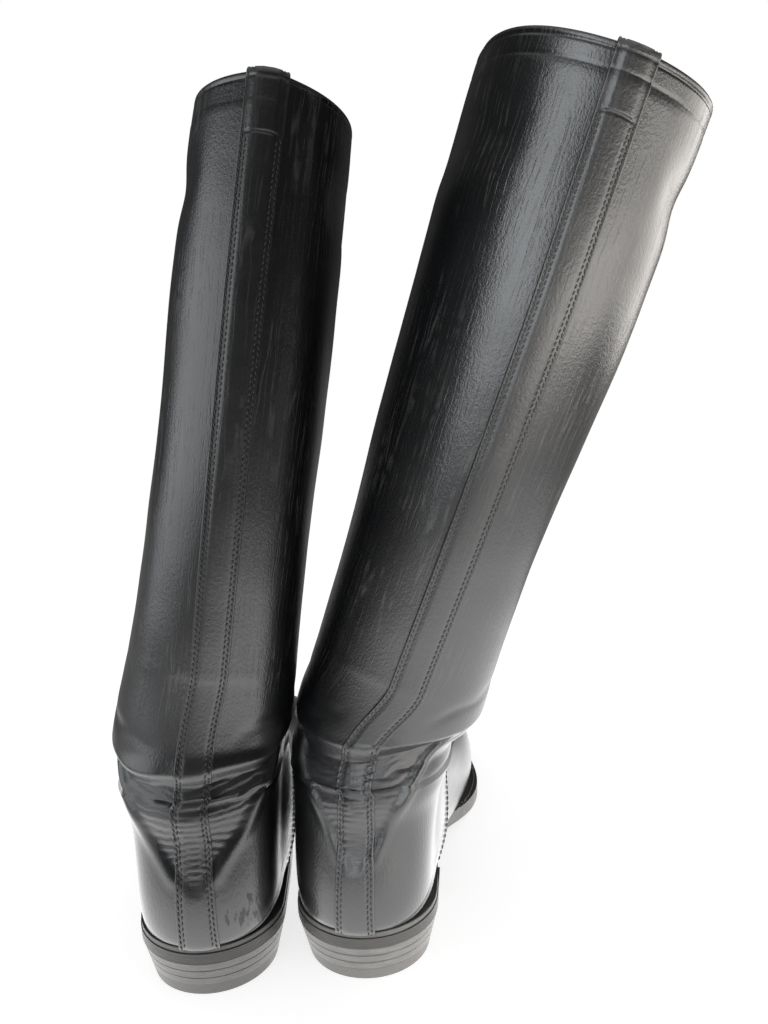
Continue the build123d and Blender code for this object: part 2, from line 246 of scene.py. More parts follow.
class Look(Nodes):
    """A new material, with short calls for what it is built from."""

    def __init__(self, name, place="Object"):
        self.material = bpy.data.materials.new(name)
        self.material.use_nodes = True
        super().__init__(self.material.node_tree)
        self.tree.nodes.clear()
        self.shader = self.node("ShaderNodeBsdfPrincipled")
        self.node("ShaderNodeOutputMaterial", {"Surface": self.shader.outputs["BSDF"]})
        self.place = self.node("ShaderNodeTexCoord").outputs[place]

    def mix(self, factor, low, high):
        """A colour between low and high."""
        return self.node("ShaderNodeMix", {0: factor, 6: low, 7: high}, data_type="RGBA").outputs[2]

    def shades(self, factor, colour, low, high):
        """A colour between two strengths of one colour."""
        return self.mix(factor, tuple(low * c for c in colour), tuple(high * c for c in colour))

    def ramp(self, factor, *stops):
        """A value ramp: each stop is (position, value)."""
        made = self.node("ShaderNodeValToRGB", {"Fac": factor})
        elements = made.color_ramp.elements
        while len(elements) < len(stops):
            elements.new(0.5)
        for element, (position, value) in zip(elements, stops):
            element.position = position
            element.color = (value, value, value, 1)
        return made.outputs["Color"]

    def stretched(self, scale, place=None):
        """The texture place scaled differently along its axes."""
        inputs = {"Vector": self.place if place is None else place, "Scale": scale}
        return self.node("ShaderNodeMapping", inputs).outputs["Vector"]

    def noise(self, scale, detail=3.0, rough=0.5, place=None):
        """Noise between 0 and 1. A scale with three numbers stretches it."""
        if isinstance(scale, tuple):
            place, scale = self.stretched(scale, place), 1.0
        inputs = {"Vector": self.place if place is None else place, "Scale": scale}
        inputs.update({"Detail": detail, "Roughness": rough})
        return self.node("ShaderNodeTexNoise", inputs).outputs["Fac"]

    def cells(self, scale):
        """Cell texture."""
        return self.node("ShaderNodeTexVoronoi", {"Vector": self.place, "Scale": scale})

    def value(self, name):
        """A value that the mesh holds at its points."""
        return self.node("ShaderNodeAttribute", attribute_name=name).outputs["Fac"]

    def bump(self, height, distance, strength, under=None):
        """A normal pushed by a height, on top of an earlier one."""
        inputs = {"Height": height, "Distance": distance, "Strength": strength}
        if under is not None:
            inputs["Normal"] = under
        return self.node("ShaderNodeBump", inputs).outputs["Normal"]

    def finish(self, **inputs):
        """Feeds the shader, with _ for a space in an input's name, and returns the material."""
        for key, value in inputs.items():
            self.feed(self.shader.inputs[key.replace("_", " ")], value)
        return self.material


def polished_leather(name, colour, roughness, cracks, wear):
    """Black box leather: fine pores, long cracks along the leg, scratches, rubbed edges, a wax shine, and a
    painted sheen that makes the ankle's fold lighter and bluer.
    """
    look = Look(name, "UV")
    calc, mix, ramp = look.calc, look.mix, look.ramp
    folded = look.value("fold")
    cloudy = look.noise(22.0, 4.0)
    drift = look.node("ShaderNodeTexNoise", {"Vector": look.place, "Scale": 55.0, "Detail": 3.0})
    push = {0: drift.outputs["Color"], 1: (0.0028, 0.003, 0.0), 2: look.place}
    pushed = look.node("ShaderNodeVectorMath", push, operation="MULTIPLY_ADD").outputs["Vector"]

    long_cells = {"Vector": look.stretched((240.0, 10.0, 1.0), pushed), "Scale": 1.0}
    edges = look.node("ShaderNodeTexVoronoi", long_cells, feature="DISTANCE_TO_EDGE").outputs["Distance"]
    crack = ramp(edges, (0.0, 1.0), (0.03, 0.5), (0.06, 0.0))
    patch = ramp(look.noise(17.0), (0.36, 0.0), (0.55, 1.0))
    broken = ramp(look.noise(130.0, 2.0), (0.35, 0.0), (0.55, 1.0))
    crack = calc("MULTIPLY", calc("MULTIPLY", crack, patch), calc("MULTIPLY", broken, look.value("crease")))

    crumple = look.noise((90.0, 620.0, 1.0), 4.0, 0.65, pushed)
    crumple = calc("MULTIPLY", calc("SUBTRACT", crumple, 0.5), folded)
    scratch = ramp(look.noise((150.0, 26.0, 1.0), 6.0, 0.75), (0.70, 0.0), (0.73, 1.0))
    dust = ramp(look.noise(620.0, 1.0), (0.79, 0.0), (0.82, 1.0))
    rubbed = calc("MULTIPLY", look.value("wear"), ramp(look.noise(240.0, 4.0), (0.3, 0.25), (0.7, 1.0)))
    marks = ramp(look.noise((330.0, 210.0, 1.0), 4.0, 0.6), (0.5, 0.0), (0.56, 1.0))
    marks = calc("MULTIPLY", marks, calc("GREATER_THAN", look.value("scuff"), 0.35))

    base = look.shades(cloudy, colour, 1.0, 1.6)
    base = mix(calc("MULTIPLY", crack, 0.3 * cracks), base, (0.08, 0.078, 0.076))
    base = mix(calc("MULTIPLY", scratch, 0.08), base, (0.12, 0.118, 0.115))
    base = mix(calc("MULTIPLY", dust, 0.12), base, (0.3, 0.3, 0.3))
    # Painted sheen: the fold is lighter and bluer, as if its wrinkles mirrored the cool light.
    base = mix(calc("MULTIPLY", folded, 0.5), base, (0.013, 0.013, 0.017))
    base = mix(calc("MULTIPLY", rubbed, wear), base, (0.10, 0.092, 0.085))
    base = mix(marks, base, (0.0015, 0.0015, 0.0015))

    rough = calc("MULTIPLY_ADD", cloudy, 0.24, roughness - 0.12)
    for value, share in ((rubbed, 0.25), (crack, 0.2), (folded, 0.08), (marks, 0.4)):
        rough = calc("MULTIPLY_ADD", value, share, rough)

    fine = look.bump(look.cells(1300.0).outputs["Distance"], 0.00007, 0.5)
    fine = look.bump(look.noise((760.0, 480.0, 1.0)), 0.0002, 0.6, fine)
    fine = look.bump(calc("MULTIPLY", crack, -1.0), 0.0001, 0.6 * cracks, fine)
    fine = look.bump(crumple, 0.0005, 0.4, fine)
    look.finish(Specular_IOR_Level=0.65, Coat_Weight=0.4, Coat_Roughness=0.26, Coat_Normal=fine)
    return look.finish(Base_Color=base, Roughness=rough, Normal=fine)


def plain_leather(name, colour, roughness, scale=700.0):
    """Unpolished leather: mottled, pored and dull."""
    look = Look(name)
    cloudy = look.noise(60.0, 5.0)
    base = look.shades(cloudy, colour, 0.6, 1.3)
    normal = look.bump(look.cells(scale).outputs["Distance"], 0.0002, 0.5)
    rough = look.calc("MULTIPLY_ADD", cloudy, 0.2, roughness - 0.1)
    return look.finish(Base_Color=base, Normal=normal, Roughness=rough)


def layered_leather(name, colour, low=None, high=None):
    """A heel or sole layer: flat fibres, grey scuffs, and a dark joint at its low and high edge if given."""
    look = Look(name)
    fibres = look.noise((60.0, 60.0, 1400.0), 5.0, 0.65)
    scuffs = look.noise((120.0, 120.0, 420.0), 6.0, 0.7)
    worn = look.calc("MULTIPLY", look.ramp(scuffs, (0.42, 0.0), (0.62, 1.0)), 0.35)
    base = look.shades(fibres, colour, 0.45, 1.5)
    base = look.mix(worn, base, tuple(2.2 * c for c in colour))
    relief = look.bump(fibres, 0.0004, 0.7)
    if low is not None:
        height = look.node("ShaderNodeSeparateXYZ", {"Vector": look.place}).outputs["Z"]
        off = look.calc("ABSOLUTE", look.calc("SUBTRACT", height, (low + high) / 2))
        wobble = look.calc("MULTIPLY", look.calc("SUBTRACT", look.noise(90.0), 0.5), 0.0007)
        depth = look.calc("SUBTRACT", (high - low) / 2, look.calc("ADD", off, wobble))
        line = look.ramp(look.calc("DIVIDE", depth, 0.0006), (0.0, 1.0), (0.35, 0.75), (1.0, 0.0))
        base = look.mix(look.calc("MULTIPLY", line, 0.75), base, (0.006, 0.006, 0.006))
        relief = look.bump(look.calc("MULTIPLY", line, -1.0), 0.0006, 0.8, relief)
    return look.finish(Base_Color=base, Normal=relief, Roughness=look.calc("MULTIPLY_ADD", scuffs, 0.3, 0.33))


def thread(name, colour):
    """Waxed sewing thread, with the twist of its strands."""
    look = Look(name)
    twist = look.noise(2600.0, 2.0)
    return look.finish(Base_Color=look.shades(twist, colour, 0.6, 1.5), Normal=look.bump(twist, 0.0001, 0.6))


def woven(name, colour):
    """Plain webbing: warp and weft ribs."""
    look = Look(name, "UV")
    ribs = []
    for scale, direction in ((420.0, "X"), (300.0, "Y")):
        inputs = {"Vector": look.place, "Scale": scale}
        ribs.append(look.node("ShaderNodeTexWave", inputs, bands_direction=direction).outputs["Fac"])
    cloth = look.calc("MULTIPLY", *ribs)
    base = look.shades(cloth, colour, 0.4, 1.6)
    return look.finish(Base_Color=base, Normal=look.bump(cloth, 0.0004, 0.8), Roughness=0.85)


def moulded_rubber(name, colour):
    """The worn rubber top piece: dull, pitted and dusty."""
    look = Look(name)
    dust = look.noise(180.0, 6.0, 0.7)
    normal = look.bump(look.cells(1100.0).outputs["Distance"], 0.0003, 0.5)
    rough = look.calc("MULTIPLY_ADD", dust, 0.3, 0.45)
    return look.finish(Base_Color=look.shades(dust, colour, 1.0, 2.4), Normal=normal, Roughness=rough)


def brushed_metal(name, colour):
    """Plain steel with fine brush lines."""
    look = Look(name)
    lines = look.noise((1500.0, 60.0, 1500.0))
    rough = look.calc("MULTIPLY_ADD", lines, 0.25, 0.25)
    return look.finish(Base_Color=look.shades(lines, colour, 0.7, 1.0), Roughness=rough, Metallic=1.0)


def granular_cork(name, colour):
    """Ground cork: light and dark granules."""
    look = Look(name)
    grains = look.cells(420.0)
    shade = look.node("ShaderNodeSeparateColor", {"Color": grains.outputs["Color"]}).outputs["Red"]
    normal = look.bump(grains.outputs["Distance"], 0.0004, 0.7)
    return look.finish(Base_Color=look.shades(shade, colour, 0.4, 1.0), Normal=normal, Roughness=0.85)


# ---------------------------------------------------------------- reading the CAD
def node_points(name):
    """A CAD node's vertices, in metres."""
    data = frame["nodes"][name].data
    points = np.zeros(len(data.vertices) * 3)
    data.vertices.foreach_get("co", points)
    return points.reshape(-1, 3)


def surface_of(*names):
    """One search tree over several CAD nodes."""
    points, faces = [], []
    for name in names:
        start = len(points)
        data = frame["nodes"][name].data
        points.extend(v.co.copy() for v in data.vertices)
        faces.extend([start + i for i in polygon.vertices] for polygon in data.polygons)
    return BVHTree.FromPolygons(points, faces)


def flat_top(name, up, least):
    """The mean normal and middle of a node's faces that look along up."""
    normal, middle, area = Vector(), Vector(), 0.0
    for polygon in frame["nodes"][name].data.polygons:
        if polygon.normal.dot(up) > least:
            normal += polygon.normal * polygon.area
            middle += polygon.center * polygon.area
            area += polygon.area
    return normal.normalized(), middle / area


def joint_named(name):
    """One joint of the frame."""
    return next(joint for joint in frame["joints"] if joint["name"] == name)


class Boot:
    """One boot's own axes and rim, read from the frame."""

    def __init__(self, side):
        self.side = side
        self.outer = 1 if side == "left" else -1
        joint = joint_named(f"{side}_ankle_flex")
        self.across = Vector(joint["axis"]).normalized()
        self.back = UPRIGHT.cross(self.across).normalized()
        self.pivot = Vector(joint["pos_m"])
        self.origin = self.pivot + self.back * (ANKLE_AHEAD * MM)
        self.origin.z = 0.0
        self.up = flat_top(f"{side}_leg_leather", UPRIGHT, 0.8)[0]
        self.up, rim = flat_top(f"{side}_leg_leather", self.up, 0.999)
        self.rim_height = (rim - self.pivot).dot(self.up)
        strap_middle = flat_top(f"{side}_back_strap", self.up, 0.999)[1]
        rearward = strap_middle - (self.pivot + self.up * self.rim_height)
        rearward -= self.up * rearward.dot(self.up)
        self.leg_front = -rearward.normalized()
        self.skin = surface_of(f"{side}_leg_leather", f"{side}_quarter", f"{side}_vamp")

    def place(self, x, y, z):
        """A point of the boot's own frame, millimetres, inner side negative."""
        across = self.across * (x * self.outer * MM)
        return self.origin + across + self.back * (y * MM) + UPRIGHT * (z * MM)

    def own(self, points):
        """Points in the boot's own frame, in millimetres: across (towards the wearer's left), back and up."""
        moved = (np.asarray(points) - np.array(self.origin)) / MM
        return moved @ np.array([self.across, self.back, UPRIGHT]).T

    def seam_plane(self):
        """The side seams' lower end, and the direction ahead of their plane."""
        low = self.place(0, *SEAM_LOW)
        forward = self.across.cross(self.place(0, *SEAM_HIGH) - low).normalized()
        return low, -forward if forward.dot(self.back) > 0 else forward


# ---------------------------------------------------------------- the skin
def spine_value(share):
    """The foot's spine at a share from 0 at the ankle to 1 at the toe, with smooth turns."""
    rows = np.array(SPINE, float)
    at = share * (len(rows) - 1)
    index = int(min(math.floor(at), len(rows) - 2))
    t = at - index
    before = rows[max(index - 1, 0)]
    first, second = rows[index], rows[index + 1]
    after = rows[min(index + 2, len(rows) - 1)]
    return 0.5 * (
        2 * first
        + (second - before) * t
        + (2 * before - 5 * first + 4 * second - after) * t * t
        + (3 * first - before - 3 * second + after) * t ** 3
    )


def leg_heights(top):
    """Ring heights over the ankle joint, in millimetres: close together at the rim and through the folds."""
    heights = [top - RIM_INSET] + list(np.arange(top - 1.3, top - 14.0, -0.5))
    for lowest, step in ((41.0, 3.2), (14.0, 1.1), (-9.0, 0.6)):
        heights += list(np.arange(heights[-1] - step, lowest, -step))
    return heights


def stations(boot):
    """Every ring of the skin: its centre, front direction, side direction and how far it is domed."""
    rings = []
    heights = leg_heights(boot.rim_height / MM)
    for height in heights:
        share = float(smooth((height + ANKLE_JOINT - ANKLE_LOW) / (ANKLE_TOP - ANKLE_LOW)))
        rise = boot.up * share + UPRIGHT * (1 - share)
        up = rise.normalized()
        front = (boot.leg_front * share - boot.back * (1 - share)).normalized()
        front = (front - up * front.dot(up)).normalized()
        rings.append((boot.pivot + rise * (height * MM), front, up.cross(front), 0.0))
    for share in np.concatenate([np.linspace(0, 0.25, 95), np.linspace(0.25, 1, 95)[1:]]):
        y, z, tilt, x = spine_value(share)
        if z > heights[-1] + ANKLE_JOINT - 1.0:
            continue
        angle = math.radians(tilt)
        front = (UPRIGHT * math.sin(angle) - boot.back * math.cos(angle)).normalized()
        rings.append((boot.place(x, y, z), front, boot.across, 0.0))
    for step in range(1, DOME_STEPS + 1):
        rings.append((*rings[-1][:3], step / DOME_STEPS * math.radians(DOME_TURN)))
    return rings


def ray_direction(ring, angle):
    """A ring's ray direction: 0 is the front, a half turn is the back, positive turns go across."""
    front, across, dome = ring[1:]
    flat = front * math.cos(angle) + across * math.sin(angle)
    forward = front.cross(across)
    if forward.y > 0:
        forward = -forward
    return flat * math.cos(dome) + forward * math.sin(dome)


def ray_distance(boot, ring, angle):
    """How far the CAD skin's outer face is from the ring's centre along a ray, or nan where it is open."""
    direction = ray_direction(ring, angle)
    start = ring[0] + direction * RAY_REACH
    place, normal, _, distance = boot.skin.ray_cast(start, -direction, RAY_REACH)
    if place is None or normal.z < -0.8:
        return math.nan
    return RAY_REACH - distance


def soft_lines(lines, half, width):
    """Each line smoothed with a bell curve. It ends up shorter by half at both ends."""
    kernel = np.exp(-0.5 * (np.arange(-half, half + 1) / width) ** 2)
    return np.array([np.convolve(line, kernel / kernel.sum(), "valid") for line in lines])


def fill_and_soften(found, foot_from):
    """Fills the gaps between the CAD pieces and under the sole, and smooths away the CAD mesh's facets."""
    filled = found.copy()
    rows, columns = np.arange(len(found)), np.arange(RAYS)
    for line in filled[:foot_from].T:
        known = ~np.isnan(line)
        line[:] = np.interp(rows[:foot_from], rows[:foot_from][known], line[known])
    for line in filled[foot_from:]:
        known = ~np.isnan(line)
        line[:] = np.interp(columns, columns[known], line[known], period=RAYS)
    soft = soft_lines(np.pad(filled, ((0, 0), (18, 18)), "wrap"), 18, 7.0)
    softer = soft_lines(np.pad(soft, ((6, 6), (0, 0)), "edge").T, 6, 2.6).T
    share = smooth((len(found) - DOME_STEPS - rows) / 30)[:, None]
    return softer * share + soft * (1 - share)


def running(steps):
    """The length reached after each step along the last axis, from zero."""
    return np.concatenate([np.zeros((*steps.shape[:-1], 1)), np.cumsum(steps, axis=-1)], axis=-1)


class Skin:
    """The upper's outer face as rings of points, with normals and lengths along and round it."""

    def __init__(self, boot):
        self.boot = boot
        rings = stations(boot)
        self.rows = len(rings)
        angles = math.pi - np.arange(RAYS) / RAYS * 2 * math.pi
        found = np.array([[ray_distance(boot, ring, angle) for angle in angles] for ring in rings])
        centre_heights = boot.own([ring[0] for ring in rings])[:, 2]
        # The foot's rings end at the welt, and stay open under the sole.
        self.first_open = int(np.flatnonzero(np.isnan(found[:, 0]) & (centre_heights < 70))[0])
        self.points = self.resample(rings, found)
        self.points[0] += np.array(boot.up) * (RIM_INSET * MM)
        self.measure()

    def edge_angle(self, ring, inside, outside):
        """The ray angle where the skin ends at the welt, between one inside and one past it."""
        for _ in range(12):
            middle = (inside + outside) / 2
            if math.isnan(ray_distance(self.boot, ring, middle)):
                outside = middle
            else:
                inside = middle
        return inside

    def ring_ends(self, rings, found):
        """The ray angles at which every ring starts and ends: at the back, or at the welt on both sides."""
        step = 2 * math.pi / RAYS
        ends = np.zeros((len(rings), 2))
        ends[: self.first_open] = (math.pi, -math.pi)
        for row in range(self.first_open, len(rings)):
            known = np.flatnonzero(~np.isnan(found[row]))
            for side, (ray, past) in enumerate(((known[0], step), (known[-1], -step))):
                angle = math.pi - ray * step
                ends[row, side] = self.edge_angle(rings[row], angle, angle + past)
        free = ends[self.first_open + 1 :]
        padded = np.pad(free, ((2, 2), (0, 0)), "edge")
        for side in range(2):
            free[:, side] = np.convolve(padded[:, side], np.array([1, 2, 3, 2, 1]) / 9, "valid")
        return ends

    def resample(self, rings, found):
        """Evenly spaced points round every ring, starting and ending at the back or at the welt."""
        ends = self.ring_ends(rings, found)
        soft = fill_and_soften(found, self.first_open)
        result = np.zeros((len(rings), COLUMNS + 1, 3))
        angles = math.pi - np.arange(RAYS + 1) * (2 * math.pi / RAYS)
        for row, ring in enumerate(rings):
            dense_angles = np.linspace(*ends[row], 600)
            reach = np.interp(-dense_angles, -angles, np.append(soft[row], soft[row, 0]))
            directions = np.array([ray_direction(ring, angle) for angle in dense_angles])
            dense = np.array(ring[0]) + directions * reach[:, None]
            run = running(np.linalg.norm(np.diff(dense, axis=0), axis=1))
            even = np.linspace(0, run[-1], COLUMNS + 1)
            for axis in range(3):
                result[row, :, axis] = np.interp(even, run, dense[:, axis])
        return result

    def measure(self):
        """Normals, and lengths round each ring and along the skin."""
        points = self.points
        closed = np.concatenate([points[:, -2:-1], points, points[:, 1:2]], axis=1)
        around = (closed[:, 2:] - closed[:, :-2]) / 2
        around[self.first_open :] = np.gradient(points, axis=1)[self.first_open :]
        normals = np.cross(around, np.gradient(points, axis=0))
        normals /= np.maximum(np.linalg.norm(normals, axis=2, keepdims=True), 1e-12)
        outward = points[:20] - points[:20].mean(axis=1, keepdims=True)
        self.normals = -normals if (outward * normals[:20]).sum() < 0 else normals
        drops = np.linalg.norm(np.diff(points, axis=0), axis=2)
        self.around = running(np.linalg.norm(np.diff(points, axis=1), axis=2))
        self.along = running(drops.mean(axis=1))
        self.back_run = running(drops[:, 0])

    def signed_side(self):
        """The length from the back centre line round each ring, positive across to the wearer's left."""
        total = self.around[:, -1:]
        return np.where(self.around > total / 2, self.around - total, self.around)

    def own_points(self):
        """The skin's points in the boot's own frame, in millimetres."""
        return self.boot.own(self.points.reshape(-1, 3)).reshape(self.points.shape)

    def moved(self, relief):
        """The skin with every point moved along its normal."""
        skin = copy.copy(self)
        skin.points = self.points + self.normals * relief[:, :, None]
        skin.points[: skin.first_open, -1] = skin.points[: skin.first_open, 0]
        skin.measure()
        return skin

    def at(self, row, side):
        """Point and normal on one ring at a signed length from the back centre line."""
        total = self.around[row, -1]
        if row >= self.first_open:
            side = min(side, total) if side >= 0 else max(total + side, 0)
        else:
            side = side % total
        table = np.concatenate([self.points[row], self.normals[row]], axis=1).T
        found = np.array([np.interp(side, self.around[row], line) for line in table])
        return found[:3], found[3:] / np.linalg.norm(found[3:])

    def between(self, row, side):
        """Point, normal and direction down the boot at a fractional ring."""
        low = int(min(math.floor(row), self.rows - 2))
        share = row - low
        first, first_normal = self.at(low, side)
        second, second_normal = self.at(low + 1, side)
        normal = first_normal * (1 - share) + second_normal * share
        return first * (1 - share) + second * share, normal / np.linalg.norm(normal), second - first


# ---------------------------------------------------------------- folds, in millimetres
def bell(distance, width):
    """1 where the distance is zero, falling away over the width."""
    return np.exp(-((distance / width) ** 2))


def ankle_relief(skin):
    """How far the leather stands out or sinks in round the ankle: the fold, and the sunk V below it.

    It also keeps how creased and how folded every point is, for the leather's look.
    """
    name = skin.boot.side
    side = skin.signed_side() / MM
    reach = np.abs(side)
    height = skin.own_points()[:, :, 2]
    zone = (height > 40) & (height < 175)

    def cloud(size, seed):
        """Noise over the ankle only."""
        values = np.zeros(height.shape)
        values[zone] = grain(skin.points[zone], size * MM, seed)
        return values

    fold = FOLD_HEIGHT[name] + 0.09 * reach + 3.0 * cloud(38, 3.1) + 6.0 * smooth((reach - 30) / 45)
    vee = VEE_FOOT[name] + VEE_SLOPE[name] * reach + 3.0 * cloud(26, 7.7)
    vee = np.minimum(vee, fold - 4)
    window = 1 - smooth((reach - 55) / 40)
    rise = height - fold

    # The fold hangs over, and the leather below it is drawn in down to the V's sides.
    strength = FOLD_AT_STRAP[name] + (1 - FOLD_AT_STRAP[name]) * smooth((reach - 9) / 22)
    strength = strength * (1 + 0.35 * cloud(33, 13.0))
    over = np.exp(-((np.maximum(rise, 0) / 24) ** 1.3)) * (1 - smooth(-rise / 5.5))
    sunk = smooth((height - vee + 1) / 8) * smooth((1 - rise) / 6.5)
    depth = 1.2 + (FOLD_IN - 1.2) * np.clip((height - vee) / np.maximum(fold - vee, 8), 0, 1)
    relief = (FOLD_OUT * strength * over - depth * sunk * (0.6 + 0.4 * strength)) * window

    # A ridge runs along each side of the V.
    ridge = bell(height - vee + 2.5, 4.2) * smooth((reach - 6) / 7) * (1 - smooth((reach - 42) / 25))
    relief += RIDGE * ridge * (0.85 + 0.5 * cloud(20, 23.0)) * smooth((height - 54) / 6)

    # Fine wrinkles cross the V.
    fan = WRINKLE_PITCH * (1 + 0.016 * reach)
    phase = (height - 84 + 0.05 * reach) / fan + 0.75 * cloud(15, 11.0) + 0.25 * cloud(5, 5.0)
    creases = -((1 - np.abs(np.sin(math.pi * phase))) ** 1.2)
    fade = np.clip(0.85 + 0.9 * cloud(11, 19.0), 0.1, 1.4) * (1 - smooth((reach - 34) / 26))
    in_vee = smooth((height - vee) / 10) * smooth((-2 - rise) / 5)
    relief += WRINKLE * (creases + 0.4) * in_vee * fade

    # A second, softer crease lies above the fold, and the left boot bulges at its inner side.
    soft_crease = bell(rise - 13 - 5 * cloud(26, 29.0), 3.5) * window * smooth((reach - 14) / 12)
    relief -= 1.1 * soft_crease * np.clip(0.5 + cloud(22, 31.0), 0, 1.2)
    if name == "left":
        relief += 3.0 * bell(side + 34, 13) * bell(height - 101, 8)

    # Even waves cross the instep.
    wave = np.sin(2 * math.pi * (height + 5 * cloud(40, 37.0) - 92) / 15.0)
    wave *= smooth((height - 86) / 10) * (1 - smooth((height - 138) / 16))
    relief += 1.5 * wave * smooth((reach - 78) / 25)

    skin.crease = smooth((rise - 12) / 30)
    # How folded a point is also sets where the leather's painted sheen goes.
    skin.fold = smooth((height - vee) / 9) * smooth((4 - rise) / 6) * (1 - smooth((reach - 60) / 30))
    return relief * MM


def leg_relief(skin):
    """The shaft's slight dents, the line pressed in below its rim and the sag below the firmer top."""
    depth = skin.along[:, None] / MM
    height = skin.own_points()[:, :, 2]
    reach = np.abs(skin.signed_side()) / MM
    flat = skin.points.reshape(-1, 3)
    broad = grain(flat, 70 * MM, 41.0).reshape(height.shape)
    small = grain(flat, 24 * MM, 43.0).reshape(height.shape)
    relief = (0.9 * broad + 0.22 * small) * smooth((height - 130) / 40) * smooth((depth - 12) / 30)
    sides = smooth((reach - 30) / 20) * (1 - smooth((reach - 105) / 15))
    relief -= SAG[1] * sides * bell(depth - SAG[0], 13)
    relief -= RIM_GROOVE[1] * bell(depth - RIM_GROOVE[0], 0.6)
    if skin.boot.side == "right":
        relief -= TOP_LINE[1] * bell(depth - TOP_LINE[0], 0.9)
    return relief * MM


# ---------------------------------------------------------------- building meshes
def put_in_scene(name, data):
    """A new object in the scene."""
    made = bpy.data.objects.new(name, data)
    bpy.context.scene.collection.objects.link(made)
    return made


def smooth_object(name, mesh, material):
    """A smooth object made of one mesh and one material."""
    mesh.polygons.foreach_set("use_smooth", [True] * len(mesh.polygons))
    mesh.materials.append(material)
    return put_in_scene(name, mesh)


def grid_object(name, points, material, uv=None, **values):
    """A smooth object from rows of points, with texture places and named values at its points."""
    rows, columns = points.shape[:2]
    mesh = bpy.data.meshes.new(name)
    index = np.arange(rows * columns).reshape(rows, columns)
    corners = [index[:-1, :-1], index[1:, :-1], index[1:, 1:], index[:-1, 1:]]
    mesh.from_pydata(points.reshape(-1, 3).tolist(), [], np.stack(corners, axis=-1).reshape(-1, 4).tolist())
    if uv is not None:
        layer = mesh.uv_layers.new(name="leather")
        corners = np.zeros(len(mesh.loops), int)
        mesh.loops.foreach_get("vertex_index", corners)
        layer.data.foreach_set("uv", uv.reshape(-1, 2)[corners].astype(np.float32).ravel())
    for key, value in values.items():
        attribute = mesh.attributes.new(key, "FLOAT", "POINT")
        attribute.data.foreach_set("value", value.astype(np.float32).ravel())
    edit = bmesh.new()
    edit.from_mesh(mesh)
    bmesh.ops.remove_doubles(edit, verts=edit.verts, dist=2e-6)
    bmesh.ops.recalc_face_normals(edit, faces=edit.faces)
    edit.to_mesh(mesh)
    edit.free()
    return smooth_object(name, mesh, material)


def attach(piece, boot, slot, body, *replaced):
    """Puts a piece on one of the boot's bodies, or at the "ankle" bakes its place into its mesh and leaves it
    on no body. It hides the CAD nodes that it replaces.
    """
    if replaced:
        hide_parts(*[f"{boot.side}_{name}" for name in replaced])
    if body != "ankle":
        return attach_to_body(piece, f"{boot.side}_{body}")
    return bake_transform(piece)


def skin_rows(skin):
    """The skin with its cut edge turned over the rim and a little way down the inside."""
    up = np.array(skin.boot.up)
    edge = [(LEATHER, -12.0), (LEATHER, -6.0), (LEATHER, -0.7), (LEATHER - 0.5, -0.05)]
    edge += [(LEATHER / 2, 0.05), (0.55, -0.05), (0.1, -0.5)]
    turned = [skin.points[0] - skin.normals[0] * (inward * MM) + up * (rise * MM) for inward, rise in edge]
    return np.concatenate([np.array(turned), skin.points[1:]], axis=0), len(edge)


def skin_uv(skin, extra):
    """The share round each ring and the length along the skin as texture places, in about metres."""
    along = np.concatenate([skin.along[1] - np.arange(extra, 0, -1) * 0.002, skin.along[1:]])
    share = skin.around / skin.around[:, -1:]
    around = 0.4 * np.concatenate([np.repeat(share[:1], extra, 0), share[1:]])
    return np.stack([around + 0.37 * (skin.boot.outer + 1), along[:, None] * np.ones_like(around)], axis=-1)


def scuffs(skin):
    """Where the counter is scuffed, on the left boot only."""
    if skin.boot.side == "right":
        return np.zeros(skin.around.shape)
    across = (skin.signed_side() / MM - SCUFF_SIDE) / SCUFF_WIDE
    return bell(np.hypot(across, (skin.own_points()[:, :, 2] - SCUFF_HEIGHT) / SCUFF_TALL), 1)


def build_upper(skin, materials):
    """The outer leather: the leg and quarter in one piece, and the vamp cut from it at the seams."""
    boot = skin.boot
    points, extra = skin_rows(skin)
    values = {}
    for name, table in (("fold", skin.fold), ("crease", skin.crease), ("scuff", scuffs(skin))):
        values[name] = np.concatenate([np.zeros((extra, COLUMNS + 1)), table[1:]])
    wear = np.zeros(points.shape[:2])
    wear[3:6] = 0.8  # rubbed along the rim's cut edge
    wear[extra] = 0.35
    whole = grid_object(
        f"{boot.side}_leg_and_quarter", points, materials["boot"], skin_uv(skin, extra), wear=wear, **values
    )
    vamp = cut_vamp(whole, boot, materials)
    low, forward = boot.seam_plane()

    def seam_gap(point):
        """How far a point of the leg and quarter is from the vamp's edge."""
        behind = max(-(point - low).dot(forward), 0.0)
        return math.hypot(behind, max(point.z - INSTEP_SEAM * MM, 0.0))

    finish_edge(whole, seam_gap)
    finish_edge(vamp)
    attach(whole, boot, "boot_leather", "ankle", "leg_leather", "quarter")
    attach(vamp, boot, "boot_leather", "ankle", "vamp")


